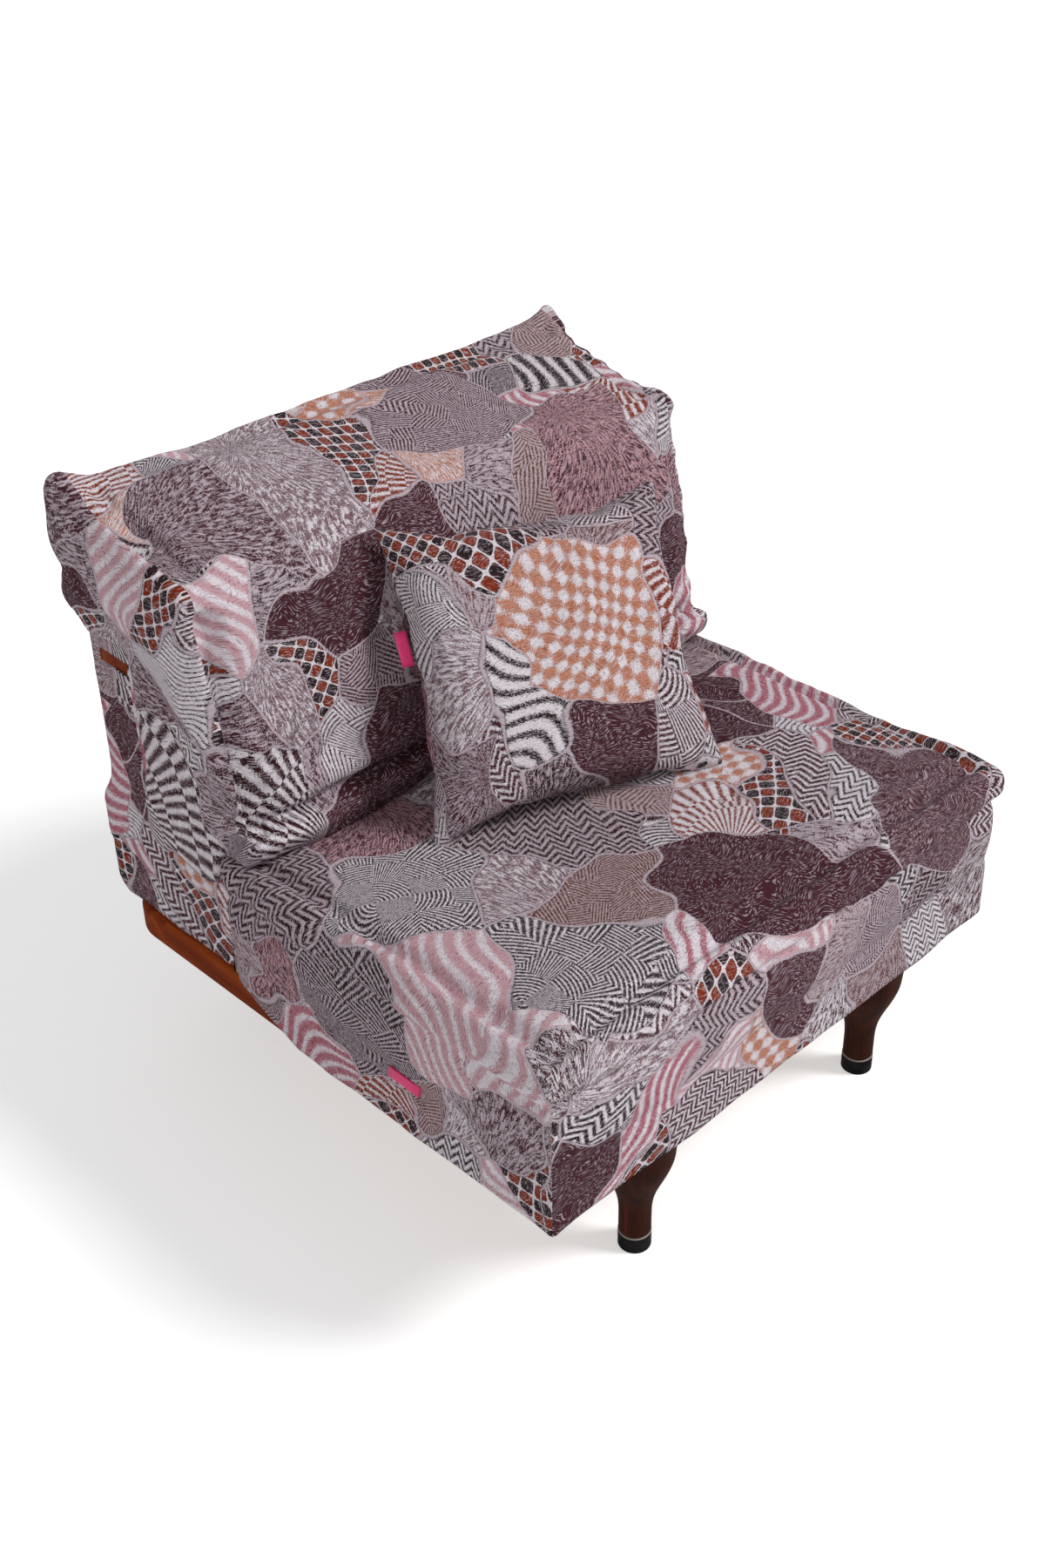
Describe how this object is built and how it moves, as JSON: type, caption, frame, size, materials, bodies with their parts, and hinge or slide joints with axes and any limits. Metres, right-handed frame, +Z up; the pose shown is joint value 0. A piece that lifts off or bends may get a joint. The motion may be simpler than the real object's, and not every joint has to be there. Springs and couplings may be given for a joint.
{
  "type": "modular sofa",
  "caption": "Armless single-seat sofa module: turned legs, low wooden base, loose patchwork covers, back cushion and throw pillow.",
  "frame": {"origin": "on the floor, under the middle of the whole object's box", "axes": "+Z up, the seat faces -Y, +X to the right of someone who looks at it from the front rear-wards"},
  "size_m": [0.816, 0.816, 0.7992],
  "materials": {
    "base_wood": "reddish-brown varnished hardwood",
    "leg_wood": "dark mahogany stain under satin varnish",
    "frame_wood": "planed pine and plywood, unfinished",
    "slat_wood": "bent laminated beech, clear lacquer",
    "cap_rubber": "moulded black rubber",
    "zinc_steel": "zinc-plated steel",
    "foam": "open-cell upholstery foam",
    "patchwork_fabric": "heavy jacquard in plum, rust, grey and off-white patches",
    "tag_ribbon": "plain woven satin ribbon, hot pink"
  },
  "bodies": {
    "base": {"base_rail_front": "base_wood", "base_rail_rear": "base_wood", "base_rail_left": "base_wood", "base_rail_right": "base_wood", "base_rail_centre": "frame_wood", "rail_dowels": "slat_wood", "joining_inserts": "zinc_steel", "leg_front_left": "leg_wood", "leg_front_right": "leg_wood", "leg_rear_left": "leg_wood", "leg_rear_right": "leg_wood", "foot_cap_front_left": "cap_rubber", "foot_cap_front_right": "cap_rubber", "foot_cap_rear_left": "cap_rubber", "foot_cap_rear_right": "cap_rubber", "leg_plates": "zinc_steel", "leg_hanger_bolts": "zinc_steel", "leg_plate_screws": "zinc_steel", "seat_box_front": "frame_wood", "seat_box_rear": "frame_wood", "seat_box_left": "frame_wood", "seat_box_right": "frame_wood", "seat_box_screws": "zinc_steel", "seat_slats": "slat_wood", "slat_holders": "cap_rubber", "back_post_left": "frame_wood", "back_post_right": "frame_wood", "back_sleeper_left": "frame_wood", "back_sleeper_right": "frame_wood", "back_cleat_left": "frame_wood", "back_cleat_right": "frame_wood", "back_coach_bolts": "zinc_steel", "back_top_rail": "base_wood", "back_top_pad": "foam", "back_foot_rail": "frame_wood", "back_middle_rail": "frame_wood", "back_panel_front": "frame_wood", "back_panel_rear": "frame_wood", "plinth_shelf": "frame_wood", "plinth_kick_board": "frame_wood", "back_slipcover": "patchwork_fabric", "plinth_slipcover": "patchwork_fabric", "link_pivot_plate": "zinc_steel", "link_catch_plate": "zinc_steel", "link_screws": "zinc_steel"},
    "seat": {"seat_core": "foam", "seat_cover": "patchwork_fabric", "seat_tag": "tag_ribbon"},
    "back_cushion": {"back_cushion_core": "foam", "back_cushion_cover": "patchwork_fabric"},
    "pillow": {"pillow_filling": "foam", "pillow_cover": "patchwork_fabric", "pillow_tag": "tag_ribbon"},
    "link_hook": {"link_hook": "zinc_steel"}
  },
  "joints": [
    {"name": "seat_lift", "type": "slide", "parent": "base", "child": "seat", "axis": [0, 0, 1], "range_m": [0, 0.12]},
    {"name": "back_cushion_lift", "type": "slide", "parent": "seat", "child": "back_cushion", "axis": [0, 0, 1], "range_m": [0, 0.25]},
    {"name": "pillow_lift", "type": "slide", "parent": "back_cushion", "child": "pillow", "axis": [0, 0, 1], "range_m": [0, 0.2]},
    {"name": "link_hook_swing", "type": "hinge", "parent": "base", "child": "link_hook", "pos_m": [0.37, 0, 0.175], "axis": [0, 0, 1], "range_deg": [0, 90]}
  ]
}
